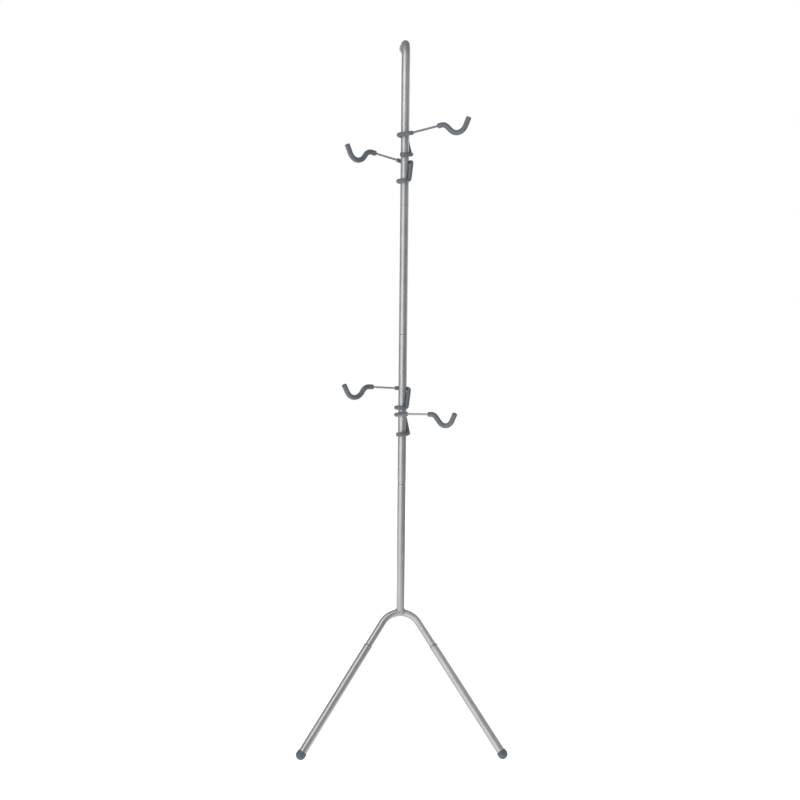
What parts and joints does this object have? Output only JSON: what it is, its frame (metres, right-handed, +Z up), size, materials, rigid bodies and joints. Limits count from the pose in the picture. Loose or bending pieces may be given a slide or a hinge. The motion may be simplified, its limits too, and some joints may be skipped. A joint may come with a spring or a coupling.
{
  "type": "leaning bicycle storage stand",
  "caption": "Leaning storage stand that hangs bicycles: inverted-V base, tubular mast with a cane top that rests on a wall, and swinging wire arms with padded cradles.",
  "frame": {"origin": "on the floor, below the middle of the stand's width and depth", "axes": "+Z up, +Y towards the wall that the stand leans on, +X to the right seen from the front"},
  "size_m": [0.634, 0.5428, 2.1317],
  "materials": {
    "frame_tube": "satin silver powder coat",
    "weld": "coated weld bead",
    "wire": "bright zinc-plated wire",
    "sleeve": "soft blue-grey vinyl sleeve",
    "foot_rubber": "matte dark blue-grey rubber",
    "bumper": "matte light grey"
  },
  "bodies": {
    "stand": {"base_arch": "frame_tube", "stem_tube": "frame_tube", "stem_weld": "weld", "leg_tube_left": "frame_tube", "leg_tube_right": "frame_tube", "foot_cap_left": "foot_rubber", "foot_cap_right": "foot_rubber", "mast_middle_tube": "frame_tube", "mast_top_tube": "frame_tube", "wall_bumper": "bumper"},
    "upper_right_arm": {"upper_right_rod": "wire", "upper_right_cradle_sleeve": "sleeve", "upper_right_grip_sleeve": "sleeve"},
    "upper_left_arm": {"upper_left_rod": "wire", "upper_left_cradle_sleeve": "sleeve", "upper_left_grip_sleeve": "sleeve"},
    "lower_left_arm": {"lower_left_rod": "wire", "lower_left_cradle_sleeve": "sleeve", "lower_left_grip_sleeve": "sleeve"},
    "lower_right_arm": {"lower_right_rod": "wire", "lower_right_cradle_sleeve": "sleeve", "lower_right_grip_sleeve": "sleeve"}
  },
  "joints": [
    {"name": "upper_right_swing", "type": "hinge", "parent": "stand", "child": "upper_right_arm", "pos_m": [0, 0.10695, 1.8395], "axis": [0, 0.0523, 0.9986], "continuous": true},
    {"name": "upper_left_swing", "type": "hinge", "parent": "stand", "child": "upper_left_arm", "pos_m": [0, 0.10315, 1.7671], "axis": [0, 0.0523, 0.9986], "continuous": true},
    {"name": "lower_left_swing", "type": "hinge", "parent": "stand", "child": "lower_left_arm", "pos_m": [0, 0.06662, 1.07006], "axis": [0, 0.0523, 0.9986], "continuous": true},
    {"name": "lower_right_swing", "type": "hinge", "parent": "stand", "child": "lower_right_arm", "pos_m": [0, 0.06259, 0.99316], "axis": [0, 0.0523, 0.9986], "continuous": true}
  ]
}
